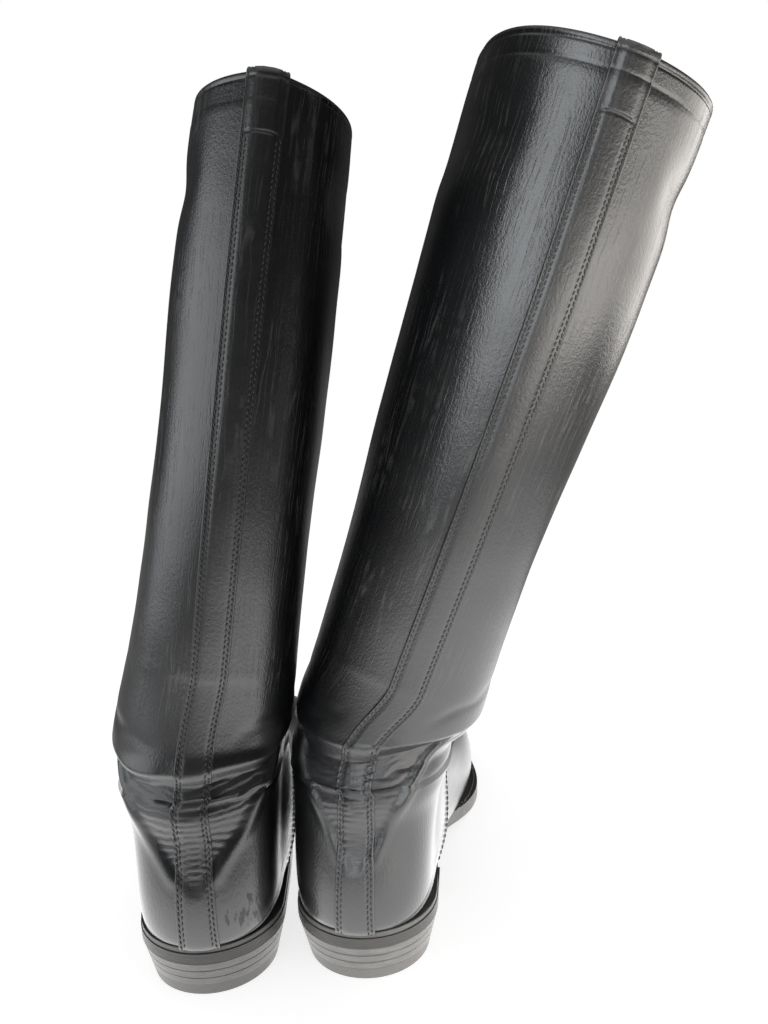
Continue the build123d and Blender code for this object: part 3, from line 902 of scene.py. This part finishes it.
def cut_vamp(whole, boot, materials):
    """Cuts the leather at the seams, and moves what lies ahead of them into a piece of its own."""
    low, forward = boot.seam_plane()
    top = INSTEP_SEAM * MM

    def is_ahead(face):
        """Whether a face lies ahead of the side seams."""
        return (face.calc_center_median() - low).dot(forward) > 0

    edit = bmesh.new()
    edit.from_mesh(whole.data)
    everything = edit.verts[:] + edit.edges[:] + edit.faces[:]
    bmesh.ops.bisect_plane(edit, geom=everything, plane_co=low, plane_no=forward)
    ahead = [face for face in edit.faces if is_ahead(face)]
    parts = set(ahead) | {e for f in ahead for e in f.edges} | {v for f in ahead for v in f.verts}
    bmesh.ops.bisect_plane(edit, geom=list(parts), plane_co=UPRIGHT * top, plane_no=UPRIGHT)
    vamp_mesh = bpy.data.meshes.new(f"{boot.side}_vamp_leather")
    for piece, mesh, is_vamp in ((edit.copy(), vamp_mesh, True), (edit, whole.data, False)):
        others = [f for f in piece.faces if (is_ahead(f) and f.calc_center_median().z < top) != is_vamp]
        bmesh.ops.delete(piece, geom=others, context="FACES")
        piece.to_mesh(mesh)
        piece.free()
    return smooth_object(vamp_mesh.name, vamp_mesh, materials["boot"])


def finish_edge(piece, gap=None):
    """Gives the leather's cut edge at the seams a thickness. Where it laps over, it is raised first."""
    edit = bmesh.new()
    edit.from_mesh(piece.data)
    edit.normal_update()
    if gap is not None:
        for vertex in edit.verts:
            lift = SEAM_RISE * math.exp(-((gap(vertex.co) / MM / SEAM_FADE) ** 2))
            if lift > 0.01:
                vertex.co += vertex.normal * (lift * MM)

    def at_seam(edge):
        """Whether an open edge is at a seam, and not at the rim or the welt."""
        height = (edge.verts[0].co.z + edge.verts[1].co.z) / 2 / MM
        return edge.is_boundary and SEAM_HEIGHTS[0] < height < SEAM_HEIGHTS[1]

    border = [edge for edge in edit.edges if at_seam(edge)]
    normals = {}
    for vertex in {vertex for edge in border for vertex in edge.verts}:
        normals[tuple(round(c, 7) for c in vertex.co)] = vertex.normal.copy()
    for vertex in bmesh.ops.extrude_edge_only(edit, edges=border)["geom"]:
        if isinstance(vertex, bmesh.types.BMVert):
            vertex.co -= normals.get(tuple(round(c, 7) for c in vertex.co), Vector()) * (CUT_EDGE * MM)
    edit.to_mesh(piece.data)
    edit.free()
    piece.data.polygons.foreach_set("use_smooth", [True] * len(piece.data.polygons))


def build_lining(skin, base, materials):
    """The lining from the rim to the toe, a third as finely divided as the leather."""
    up = np.array(skin.boot.up)
    relief = np.einsum("ijk,ijk->ij", skin.points - base.points, base.normals)
    source = base.points + base.normals * np.minimum(relief, 0)[:, :, None]
    turns = [(LINING_OUT + 0.15, -9.0), (LINING_OUT + 0.15, -1.2), (LINING_OUT + 0.4, -0.7)]
    turns += [(LINING_IN - 0.3, -0.65)]
    edge = [source[0] - base.normals[0] * (depth * MM) + up * (rise * MM) for depth, rise in turns]
    inner = (source - base.normals * (LINING_IN * MM))[1::3]
    points = np.concatenate([np.array(edge), inner], axis=0)[:, ::3]
    made = grid_object(f"{skin.boot.side}_lining", points, materials["lining"])
    attach(made, skin.boot, "lining_leather", "ankle", "leg_lining", "foot_lining")


def below_rim(skin, drop):
    """The ring nearest to a length below the rim in millimetres, and the way from it to that exact length."""
    row = int(np.argmin(np.abs(skin.along - drop * MM)))
    return row, np.array(skin.boot.up) * (skin.along[row] - drop * MM)


def build_facing(skin, materials):
    """The strip that faces the lining's top, open behind the strap."""
    columns = np.flatnonzero(np.abs(skin.signed_side()[0]) / MM > STRAP_HALF_TOP + 0.1)
    section = [(FACING_OUT, 6.0), (FACING_OUT, 0.9), (LINING_IN + 0.35, 0.25), (FACING_IN - 0.3, 0.25)]
    section += [(FACING_IN, drop) for drop in (0.8, 8.0, 16.0, FACING_DEPTH - 0.6)]
    section += [(FACING_IN - 0.3, FACING_DEPTH), (FACING_OUT, FACING_DEPTH)]
    rows = []
    for depth, drop in section:
        row, shift = below_rim(skin, drop)
        rows.append((skin.points[row] + shift - skin.normals[row] * (depth * MM))[columns])
    made = grid_object(f"{skin.boot.side}_top_facing_strip", np.array(rows), materials["facing"])
    attach(made, skin.boot, "facing_leather", "leg", "top_facing")


# ---------------------------------------------------------------- the back strap
def strap_half(skin, row):
    """The strap's half width at a ring, in millimetres."""
    height, rim = skin.boot.own(skin.points[[row, 0], 0])[:, 2]
    if height > ANKLE_JOINT:
        share = (height - ANKLE_JOINT) / (rim - ANKLE_JOINT)
        return STRAP_HALF_ANKLE + (STRAP_HALF_TOP - STRAP_HALF_ANKLE) * share
    share = max(height - STRAP_FOOT, 0) / (ANKLE_JOINT - STRAP_FOOT)
    return STRAP_HALF_HEEL + (STRAP_HALF_ANKLE - STRAP_HALF_HEEL) * share


def strap_profile(half):
    """The strap across its width: how far from the middle, and how high above the leather."""
    low = STRAP_THICK - STITCH_GROOVE
    profile = [
        (-half, -0.5),
        (-half, 1.25),
        (-half + 0.3, STRAP_THICK),
        (-half + ROW_ONE - 0.55, STRAP_THICK),
        (-half + ROW_ONE, low),
        (-half + (ROW_ONE + ROW_TWO) / 2, STRAP_THICK - 0.08),
        (-half + ROW_TWO, low),
        (-half + ROW_TWO + 0.6, STRAP_THICK),
        (-half + 5.2, STRAP_THICK),
        (-half / 4.5, STRAP_THICK + 0.03),
    ]
    return profile + [(-x, height) for x, height in reversed(profile)]


def strap_over_rim(skin, profile):
    """The strap's rows inside the leg and over the rim, each with its wear."""
    up = np.array(skin.boot.up)
    rows = []
    for drop in (STRAP_FOLD, STRAP_FOLD - 0.3, 16.0, 8.0, 2.0):
        line = []
        ring, shift = below_rim(skin, drop)
        for across, thick in profile:
            point, normal = skin.at(ring, across * MM)
            depth = FACING_OUT + (max(thick, 0) if drop < STRAP_FOLD else 0)
            line.append(point + shift - normal * (depth * MM))
        rows.append((line, 0.2))
    for turn in (180, 150, 120, 95, 85, 60, 30, 0):
        # The strap turns up at the lining's inner face first, and then over the leather's outer face.
        angle = math.radians(turn)
        anchor = FACING_OUT - 0.5 if turn > 90 else 0.5
        line = []
        for across, thick in profile:
            point, normal = skin.at(0, across * MM)
            start = point - normal * (anchor * MM) - up * (0.6 * MM)
            direction = normal * math.cos(angle) + up * math.sin(angle)
            line.append(start + direction * ((max(thick, 0) + 0.5) * MM))
        rows.append((line, 0.8 if 30 <= turn <= 150 else 0.2))
    return rows


def build_strap(skin, materials):
    """The back strap from inside the rim, over it, down the leg and the heel to the welt."""
    profile = strap_profile(strap_half(skin, 0))
    # Each point of the table holds its place, its texture place, and how worn, folded and creased it is.
    table = []
    for number, (line, worn) in enumerate(strap_over_rim(skin, profile), 1):
        looks = (-0.002 * number, worn, 0.0, 0.0)
        table.append([(*point, x * MM, *looks) for point, (x, _) in zip(line, profile)])
    around_tab = np.arange(TAB_LENGTH - 5, TAB_LENGTH + 4, 0.4) * MM
    for run in np.sort(np.concatenate([skin.back_run[1 : skin.first_open], around_tab])):
        row = float(np.interp(run, skin.back_run, np.arange(skin.rows)))
        half = strap_half(skin, int(row))
        below_tab = run / MM - TAB_LENGTH + 2.0
        edge_wear = 0.12 if below_tab > 0 else 0.4
        folds = (0.8 * skin.fold[int(row), 0], skin.crease[int(row), 0])
        line = []
        for across, thick in strap_profile(half):
            point, normal, _ = skin.between(row, across * MM)
            past = below_tab - 1.6 * (across / half) ** 2
            extra = TAB_THICK * (1 - float(smooth(past / 0.9))) - 0.4 * bell(past - 1.2, 0.7)
            middle = 1 - float(smooth((abs(across) / half - 0.5) / 0.35))
            point = point + normal * ((thick + middle * extra) * MM)
            worn = edge_wear if abs(abs(across) - half) < 0.5 else 0.05
            line.append((*point, across * MM, run, worn, *folds))
        table.append(line)
    table = np.array(table)
    values = {name: table[:, :, 5 + place] for place, name in enumerate(("wear", "fold", "crease"))}
    name = f"{skin.boot.side}_strap"
    made = grid_object(name, table[:, :, :3], materials["strap"], table[:, :, 3:5], **values)
    attach(made, skin.boot, "strap_leather", "ankle", "back_strap", "heel_strap")


# ---------------------------------------------------------------- stitches
def one_stitch(length, width):
    """A stitch's points in metres, along its row, across it and out of the leather, and its faces."""
    points = []
    for along, thick, lift in STITCH_ARCH:
        for corner in range(STITCH_SIDES if thick else 1):
            turn = 2 * math.pi * corner / STITCH_SIDES
            across, out = math.cos(turn) * 0.5 * thick, math.sin(turn) * 0.42 * thick
            points.append((along * length, across * width, (lift + out) * width))
    faces = []
    last = len(points) - 1
    for corner in range(STITCH_SIDES):
        after = (corner + 1) % STITCH_SIDES
        faces.append((0, 1 + after, 1 + corner))
        for low in range(1, last - STITCH_SIDES, STITCH_SIDES):
            high = low + STITCH_SIDES
            faces.append((low + corner, low + after, high + after, high + corner))
        faces.append((last, last - STITCH_SIDES + corner, last - STITCH_SIDES + after))
    return np.array(points) * MM, faces


def stitch_mesh(name, spots, material, length, width):
    """One object of many stitches. A spot is a middle, a direction along the row and a normal."""
    shape, shape_faces = one_stitch(length, width)
    points, faces = [], []
    for middle, direction, normal in spots:
        direction = direction / np.linalg.norm(direction)
        normal = normal - direction * (normal @ direction)
        normal = normal / np.linalg.norm(normal)
        faces += [[len(points) + corner for corner in face] for face in shape_faces]
        points += (middle + shape @ np.array([direction, np.cross(direction, normal), normal])).tolist()
    mesh = bpy.data.meshes.new(name)
    mesh.from_pydata(points, [], faces)
    return smooth_object(name, mesh, material)


def strap_stitches(skin, materials):
    """Two rows of stitches along each edge of the strap, from below its tab to the heel."""
    spots = []
    lift = STRAP_THICK - STITCH_GROOVE + 0.12
    for edge in (-1, 1):
        for inset, shift, lean in ((ROW_ONE, 0, 0.25), (ROW_TWO, STRAP_PITCH / 2, -0.25)):
            top = (TAB_LENGTH + 2 + shift) * MM
            for run in np.arange(top, skin.back_run[skin.first_open - 2], STRAP_PITCH * MM):
                row = float(np.interp(run, skin.back_run, np.arange(skin.rows)))
                side = edge * (strap_half(skin, int(row)) - inset) * MM
                point, normal, down = skin.between(row, side)
                slant = np.cross(normal, down)
                slant = slant / np.linalg.norm(slant) * np.linalg.norm(down) * lean
                spots.append((point + normal * (lift * MM), down + slant, normal))
    made = stitch_mesh(f"{skin.boot.side}_strap_stitches", spots, materials["thread"], 2.3, 0.75)
    attach(made, skin.boot, "strap_leather", "ankle")


def crossing(skin, gap, allowed, cells, inset):
    """The first place along skin points where the gap falls past inset, with its normal, or None."""
    values = gap[cells]
    found = np.flatnonzero((values[:-1] >= inset) & (values[1:] < inset))
    if len(found) == 0 or not allowed[cells][found[0]]:
        return None
    spot = found[0]
    share = (values[spot] - inset) / (values[spot] - values[spot + 1])
    points = skin.points[cells]
    return points[spot] * (1 - share) + points[spot + 1] * share, skin.normals[cells][spot]


def seam_stitches(skin, materials):
    """Two rows of stitches behind the side seams and above the instep seam."""
    low, forward = [np.array(vector) for vector in skin.boot.seam_plane()]
    behind = -(skin.points - low) @ forward / MM
    above = skin.points[:, :, 2] / MM - INSTEP_SEAM
    gap = np.where((behind > 0) & (above > 0), np.hypot(behind, above), np.maximum(behind, above))
    half = COLUMNS // 2
    # The side seams are crossed ring by ring on each side, and the instep seam column by column.
    lines = []
    for columns in (np.arange(half), np.arange(COLUMNS, half, -1)):
        lines.append(([(row, columns) for row in range(skin.rows - 16, 20, -1)], np.ones(gap.shape, bool)))
    instep = [(np.arange(20, 160), column) for column in range(COLUMNS // 5, COLUMNS - COLUMNS // 5)]
    lines.append((instep, behind <= 0))
    spots = []
    for inset in SEAM_ROWS:
        for cells, allowed in lines:
            line = [crossing(skin, gap, allowed, cell, inset) for cell in cells]
            spots += along_line(line, SEAM_PITCH, 0.75)
    made = stitch_mesh(f"{skin.boot.side}_seam_stitches", spots, materials["thread"], 2.2, 0.7)
    attach(made, skin.boot, "boot_leather", "ankle")


def along_line(line, pitch, lift):
    """Evenly spaced stitch places along points with normals. It skips what is None, and wide gaps."""
    line = [spot for spot in line if spot is not None]
    if len(line) < 3:
        return []
    points, normals = [np.array(part) for part in zip(*line)]
    steps = np.linalg.norm(np.diff(points, axis=0), axis=1)
    run = running(steps)
    spots = []
    for place in np.arange(pitch * MM / 2, run[-1] - pitch * MM / 2, pitch * MM):
        index = int(np.searchsorted(run, place)) - 1
        if steps[index] > 6 * MM:
            continue
        share = (place - run[index]) / max(steps[index], 1e-9)
        direction = points[index + 1] - points[index]
        middle = points[index] + direction * share + normals[index] * (lift * MM)
        spots.append((middle, direction, normals[index]))
    return spots


def welt_stitches(boot, materials):
    """The row of stitches on the welt's upper face, read from the welt's own outline."""
    tree = surface_of(f"{boot.side}_welt")
    middle = np.array([0.0, -150.0])
    toward = boot.own(node_points(f"{boot.side}_welt"))[:, :2] - middle
    line = []
    for angle in np.radians(np.arange(0, 360, 0.5)):
        direction = np.array([math.sin(angle), math.cos(angle)])
        lengths = toward @ direction
        off = np.abs(toward @ np.array([direction[1], -direction[0]]))
        near = lengths[(off < 6) & (lengths > 0)]
        if len(near) == 0:
            continue
        spot = middle + direction * (near.max() - WELT_INSET)
        if spot[1] > WELT_END:
            continue
        start = boot.origin + boot.across * (spot[0] * MM) + boot.back * (spot[1] * MM) + UPRIGHT * 0.1
        hit, normal, _, _ = tree.ray_cast(start, -UPRIGHT, 0.2)
        if hit is not None:
            line.append((np.array(hit), np.array(normal)))
    spots = along_line(line, WELT_PITCH, 0.1)
    made = stitch_mesh(f"{boot.side}_welt_stitches", spots, materials["welt_thread"], 3.1, 0.9)
    attach(made, boot, "edge_leather", "foot")


# ---------------------------------------------------------------- pull loops
def loop_path(thick, length):
    """The middle line of a folded band: out from its own middle and down from its top, in metres."""
    radius = (thick - WEB * MM) / 2
    bottom = length - thick / 2
    drops = [0.2 * MM, 5 * MM, 10 * MM] + [bottom * share for share in (0.5, 0.7, 0.85, 1.0)]
    turns = np.arange(1, 12) * math.pi / 12
    path = [(radius, -drop) for drop in drops]
    path += [(radius * math.cos(turn), -bottom - radius * math.sin(turn)) for turn in turns]
    path += [(-radius, -drop) for drop in reversed(drops)]
    return np.array(path)


def build_loop(boot, which, materials):
    """A webbing pull loop: one band folded in two, sewn at the top and open in a bend at the bottom."""
    name = f"{boot.side}_{which}"
    axis = np.array(joint_named(f"{name}_loop_swing")["axis"], float)
    up = np.array(boot.up)
    axes = np.array([axis, np.cross(up, axis), up])
    spans = node_points(f"{name}_pull_loop") @ axes.T
    low, high = spans.min(axis=0), spans.max(axis=0)
    width, thick, length = high - low
    base = np.array([(low[0] + high[0]) / 2, (low[1] + high[1]) / 2, high[2]]) @ axes
    path = loop_path(thick, length)
    tangent = np.gradient(path, axis=0)
    tangent /= np.linalg.norm(tangent, axis=1, keepdims=True)
    run = running(np.linalg.norm(np.diff(path, axis=0), axis=1))
    rows, uv = [], []
    for (out, drop), (along, fall), far in zip(path, tangent, run):
        line = []
        for share, height in WEB_SECTION:
            rise = height * WEB * 0.96 * MM
            line.append(base + np.array([share * width, out - fall * rise, drop + along * rise]) @ axes)
        rows.append(line)
        uv.append([(share * width, far) for share, _ in WEB_SECTION])
    made = grid_object(f"{name}_webbing", np.array(rows), materials["webbing"], np.array(uv))
    attach(made, boot, "webbing", f"{which}_loop", f"{which}_pull_loop")


def build_boot(side, materials):
    """Every soft piece of one boot."""
    boot = Boot(side)
    base = Skin(boot)
    skin = base.moved(ankle_relief(base) + leg_relief(base))
    build_upper(skin, materials)
    build_lining(skin, base, materials)
    build_facing(skin, materials)
    build_strap(skin, materials)
    strap_stitches(skin, materials)
    seam_stitches(skin, materials)
    welt_stitches(boot, materials)
    for which in ("inner", "outer"):
        build_loop(boot, which, materials)


# ---------------------------------------------------------------- hard pieces
def dress(side, material, *names):
    """Puts one material on CAD nodes that stay."""
    for name in names:
        data = frame["nodes"][f"{side}_{name}"].data
        data.materials.clear()
        data.materials.append(material)


def finish_hard_pieces(materials):
    """Gives every CAD node that stays its material."""
    lift, rand = (0.105, 0.101, 0.095), (0.075, 0.073, 0.070)
    for side in ("left", "right"):
        layers = [(f"heel_lift_{number}", f"heel_lift_{number}", lift) for number in (1, 2, 3)]
        for name, short, colour in layers + [("heel_rand", "rand", rand)]:
            low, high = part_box(f"{side}_{name}")
            dress(side, layered_leather(f"{side}_{short}_leather", colour, low.z, high.z), name)
        dress(side, materials["rubber"], "heel_top_piece")
        dress(side, materials["outsole"], "outsole")
        dress(side, materials["edge"], "welt")
        dress(side, materials["insole"], "insole", "sock_liner")
        dress(side, materials["board"], "heel_counter", "toe_puff")
        dress(side, materials["cork"], "bottom_filler")
        dress(side, materials["steel"], "shank", "heel_nails")


def make_materials():
    """Every material, by the name that the pieces use."""
    return {
        "boot": polished_leather("boot_leather", (0.0017, 0.0019, 0.0023), 0.34, 1.0, 0.7),
        "strap": polished_leather("strap_leather", (0.0017, 0.0019, 0.0022), 0.40, 0.6, 0.8),
        "lining": plain_leather("lining_leather", (0.16, 0.11, 0.07), 0.75),
        "facing": plain_leather("facing_leather", (0.03, 0.028, 0.026), 0.5),
        "thread": thread("black_thread", (0.02, 0.02, 0.02)),
        "welt_thread": thread("welt_thread", (0.06, 0.055, 0.05)),
        "webbing": woven("webbing", (0.05, 0.05, 0.05)),
        "rubber": moulded_rubber("top_piece_rubber", (0.064, 0.062, 0.058)),
        "outsole": layered_leather("outsole_leather", (0.024, 0.022, 0.020)),
        "edge": layered_leather("welt_leather", (0.022, 0.021, 0.020)),
        "insole": plain_leather("insole_leather", (0.38, 0.29, 0.2), 0.8),
        "board": plain_leather("stiffener_board", (0.35, 0.28, 0.2), 0.85, 300.0),
        "cork": granular_cork("cork_filler", (0.45, 0.33, 0.21)),
        "steel": brushed_metal("steel", (0.55, 0.56, 0.58)),
    }


# ---------------------------------------------------------------- stage
def make_floor(centre):
    """A pale floor out to the bright room. The leather mirrors it dimly, but brighter near the boots, where a
    painted glowing pool shows only in the mirror.
    """
    look = Look("pale_floor")
    mirrored = look.node("ShaderNodeLightPath").outputs["Is Glossy Ray"]
    spot = {0: look.place, 1: (centre.x, centre.y + 0.22, 0.0)}
    away = look.node("ShaderNodeVectorMath", spot, operation="DISTANCE").outputs["Value"]
    # Painted reflection: a glowing pool round the boots, seen only in the leather's mirror.
    painted_pool = look.ramp(look.calc("DIVIDE", away, 0.8), (0.28, 1.0), (0.75, 0.0))
    glow_and_painted_pool = look.calc("MULTIPLY_ADD", painted_pool, FLOOR_PAINTED_POOL, FLOOR_MIRRORED - FLOOR_GLOW)
    glow_and_painted_pool = look.calc("MULTIPLY_ADD", mirrored, glow_and_painted_pool, FLOOR_GLOW)
    seen = look.mix(look.noise(3.0), (0.5, 0.5, 0.5), (0.53, 0.53, 0.53))
    # Painted reflection: the leather mirrors the floor as a darker grey than the camera sees.
    seen = look.mix(mirrored, seen, (0.26, 0.25, 0.24))
    look.finish(Base_Color=seen, Emission_Color=(1, 1, 1), Emission_Strength=glow_and_painted_pool, Roughness=0.8)
    steps = np.linspace(-FLOOR_HALF, FLOOR_HALF, 9)
    points = np.array([[(x, y, 0.0) for x in steps] for y in steps])
    grid_object("floor", points, look.material)


def area_light(name, place, target, size, power, colour=(1, 1, 1), lit=None):
    """One soft rectangular light that looks at a target, and lights one boot only if that is given."""
    data = bpy.data.lights.new(name, "AREA")
    data.shape = "RECTANGLE"
    data.size, data.size_y = size
    data.energy = power
    data.color = colour
    made = put_in_scene(name, data)
    made.location = place
    made.visible_camera = False
    made.rotation_mode = "QUATERNION"
    made.rotation_quaternion = (Vector(target) - Vector(place)).to_track_quat("-Z", "Y")
    if lit is not None:
        made.light_linking.receiver_collection = lit


def boot_collection(side):
    """The pieces of one boot, for the lights that are kept to it."""
    made = bpy.data.collections.new(f"{side}_boot_light")
    for item in bpy.context.scene.objects:
        if item.type == "MESH" and item.name.startswith(side):
            made.objects.link(item)
    return made


def make_room():
    """A white room that lights softly, and that the leather mirrors dimly."""
    world = bpy.data.worlds.new("studio")
    bpy.context.scene.world = world
    world.use_nodes = True
    nodes = Nodes(world.node_tree)
    background = nodes.tree.nodes["Background"]
    paths = nodes.node("ShaderNodeLightPath").outputs
    strength = nodes.calc("MULTIPLY_ADD", paths["Is Glossy Ray"], ROOM_MIRRORED - ROOM_LIGHT, ROOM_LIGHT)
    strength = nodes.calc("MULTIPLY_ADD", paths["Is Camera Ray"], ROOM_SEEN - ROOM_LIGHT, strength)
    nodes.feed(background.inputs["Color"], (1, 1, 1))
    nodes.feed(background.inputs["Strength"], strength)


def make_lights(centre):
    """Tall soft windows at the sides, each kept to one boot, and a sheet above."""
    x, y, _ = centre
    left, right = boot_collection("left"), boot_collection("right")
    low, high = (x - 0.1, y + 0.1, 0.3), (x - 0.1, y + 0.1, 0.35)
    area_light("window_left", (x + 1.35, y + 0.5, 0.62), (x, y + 0.1, 0.3), (1.6, 1.15), 13, COOL, left)
    area_light("window_back", (x + 0.35, y + 1.4, 0.85), high, (0.8, 1.3), 15, COOL, right)
    area_light("window_right", (x - 1.25, y - 0.2, 0.32), low, (1.2, 0.62), 9, WARM, right)
    area_light("low_sheet", (x - 0.8, y + 0.85, 0.03), high, (1.2, 1.0), 22, WARM, right)
    area_light("sheet_above", (x, y + 0.3, 1.7), (x, y, 0.0), (1.6, 1.6), 5)
    bpy.context.scene.view_settings.view_transform = "Standard"


def make_camera():
    """The camera behind and above the heels, looking down past the rims, at the photo's angle."""
    data = bpy.data.cameras.new("camera")
    data.sensor_width = 36.0
    data.lens = 30.0
    data.clip_start = 0.01
    made = put_in_scene("camera", data)
    turn = Matrix.Rotation(math.pi + math.radians(CAMERA_YAW), 4, "Z")
    turn = turn @ Matrix.Rotation(math.radians(90 - CAMERA_DOWN), 4, "X")
    turn = turn @ Matrix.Rotation(math.radians(CAMERA_ROLL), 4, "Z")
    made.matrix_world = Matrix.Translation(CAMERA_PLACE) @ turn
    bpy.context.scene.camera = made


def main():
    """Builds everything."""
    materials = make_materials()
    for side in ("left", "right"):
        build_boot(side, materials)
    finish_hard_pieces(materials)
    centre = (CAD_BOX[0] + CAD_BOX[1]) / 2
    make_floor(centre)
    make_room()
    make_lights(centre)
    make_camera()


main()
